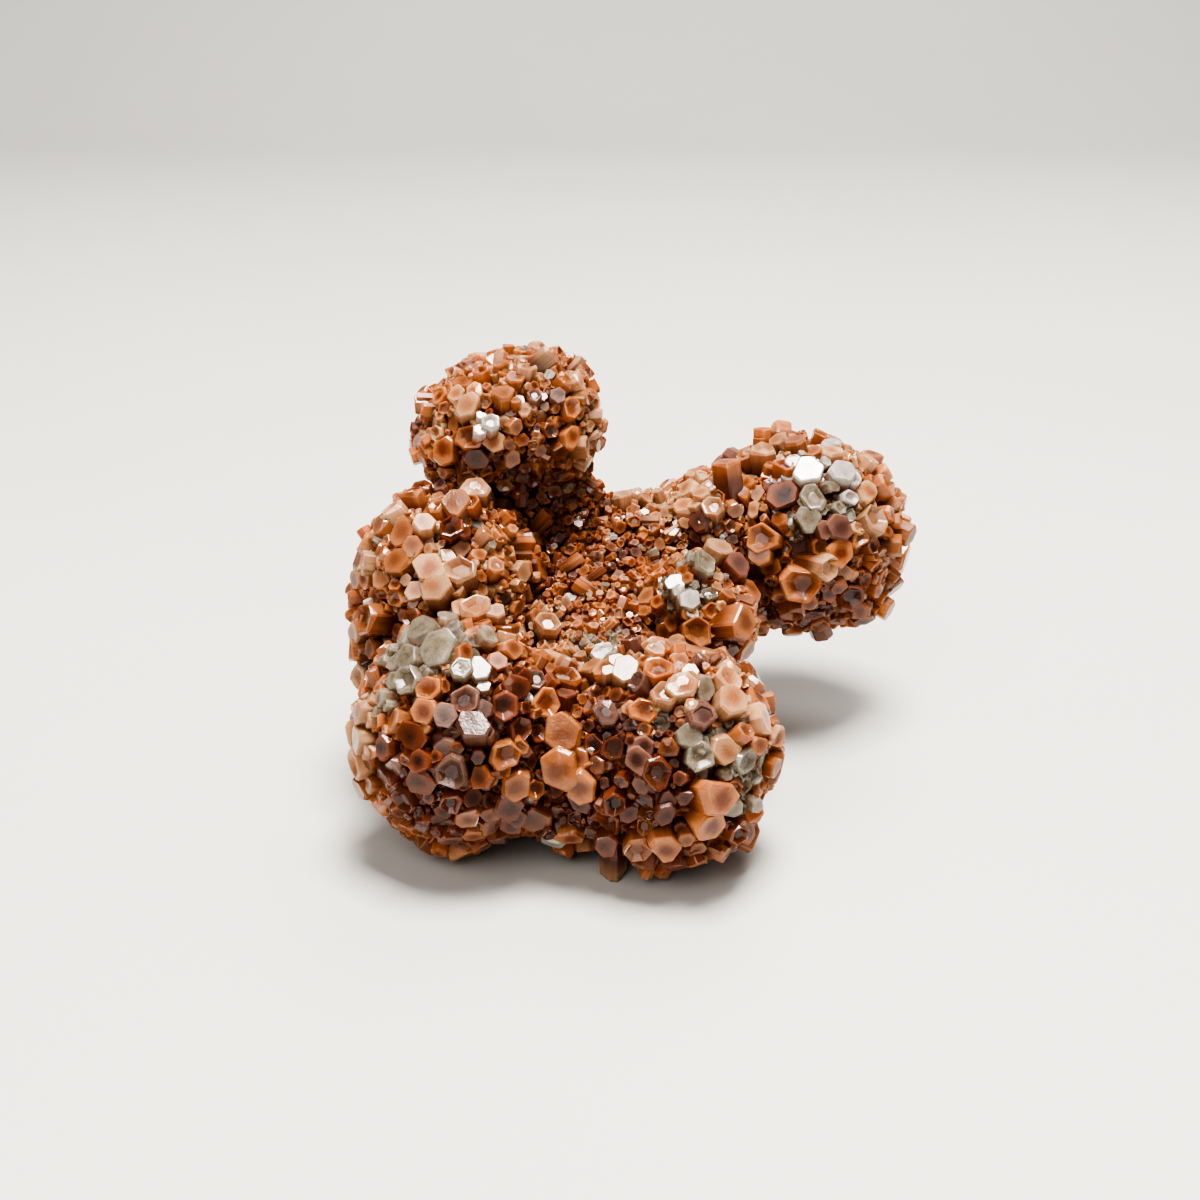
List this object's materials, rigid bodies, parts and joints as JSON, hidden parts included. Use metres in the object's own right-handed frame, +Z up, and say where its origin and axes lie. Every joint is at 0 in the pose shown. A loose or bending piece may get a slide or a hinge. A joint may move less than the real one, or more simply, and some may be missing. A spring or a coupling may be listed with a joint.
{
  "type": "aragonite cluster",
  "caption": "Natural cluster of stubby six-sided amber-brown aragonite crystals growing outwards in several rounded lobes.",
  "frame": {"origin": "middle of the footprint's bounding rectangle, on the ground", "axes": "+Z up, +X along the longest extent towards the free-hanging side lobe, +Y away from the side with the two front lobes"},
  "size_m": [0.1048, 0.097, 0.0782],
  "materials": {
    "aragonite": "glassy, translucent amber-brown crystal"
  },
  "bodies": {
    "root": {"aragonite_cluster": "aragonite"}
  },
  "joints": []
}
